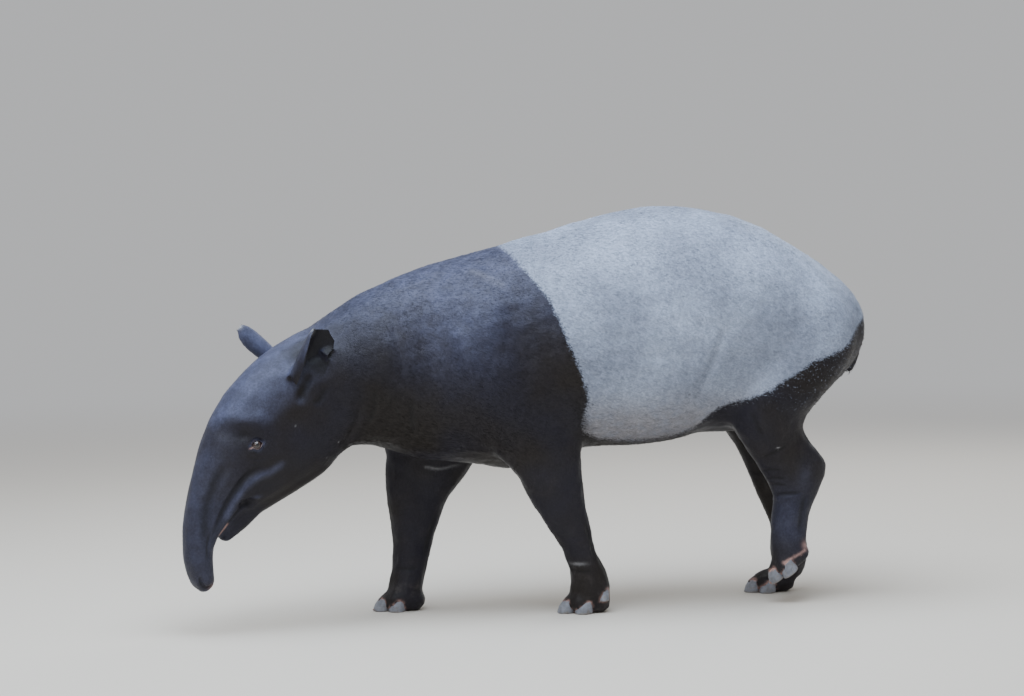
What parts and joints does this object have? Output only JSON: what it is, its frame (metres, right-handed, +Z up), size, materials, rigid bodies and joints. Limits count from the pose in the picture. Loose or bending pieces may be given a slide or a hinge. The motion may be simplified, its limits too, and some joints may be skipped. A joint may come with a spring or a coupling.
{
  "type": "malayan tapir",
  "caption": "Life-size Malayan tapir model, walking with its head lowered and turned aside, black with a pale saddle.",
  "frame": {"origin": "middle of the animal's box, on the floor", "axes": "the animal walks towards -X, its left side is towards -Y, +Z is up"},
  "size_m": [1.8772, 0.5518, 1.0702],
  "materials": {
    "coat_black": "short glossy hair",
    "coat_pale": "short pale grey hair",
    "hoof": "worn horn",
    "eye": "wet and clear"
  },
  "bodies": {
    "root": {"head": "coat_black", "snout": "coat_black", "lower_jaw": "coat_black", "neck": "coat_black", "shoulders": "coat_black", "hindquarters": "coat_black", "tail": "coat_black", "ear_left": "coat_black", "ear_right": "coat_black", "fore_left_foot": "coat_black", "fore_left_lower_leg": "coat_black", "fore_left_upper_leg": "coat_black", "fore_right_foot": "coat_black", "fore_right_lower_leg": "coat_black", "fore_right_upper_leg": "coat_black", "hind_left_foot": "coat_black", "hind_left_lower_leg": "coat_black", "hind_left_upper_leg": "coat_black", "hind_right_foot": "coat_black", "hind_right_lower_leg": "coat_black", "hind_right_upper_leg": "coat_black", "trunk": "coat_pale", "hoof_fore_left_2": "hoof", "hoof_fore_left_3": "hoof", "hoof_fore_left_4": "hoof", "hoof_fore_left_5": "hoof", "hoof_fore_right_2": "hoof", "hoof_fore_right_3": "hoof", "hoof_fore_right_4": "hoof", "hoof_fore_right_5": "hoof", "hoof_hind_left_2": "hoof", "hoof_hind_left_3": "hoof", "hoof_hind_left_4": "hoof", "hoof_hind_right_2": "hoof", "hoof_hind_right_3": "hoof", "hoof_hind_right_4": "hoof", "eye_left": "eye", "eye_right": "eye"}
  },
  "joints": []
}
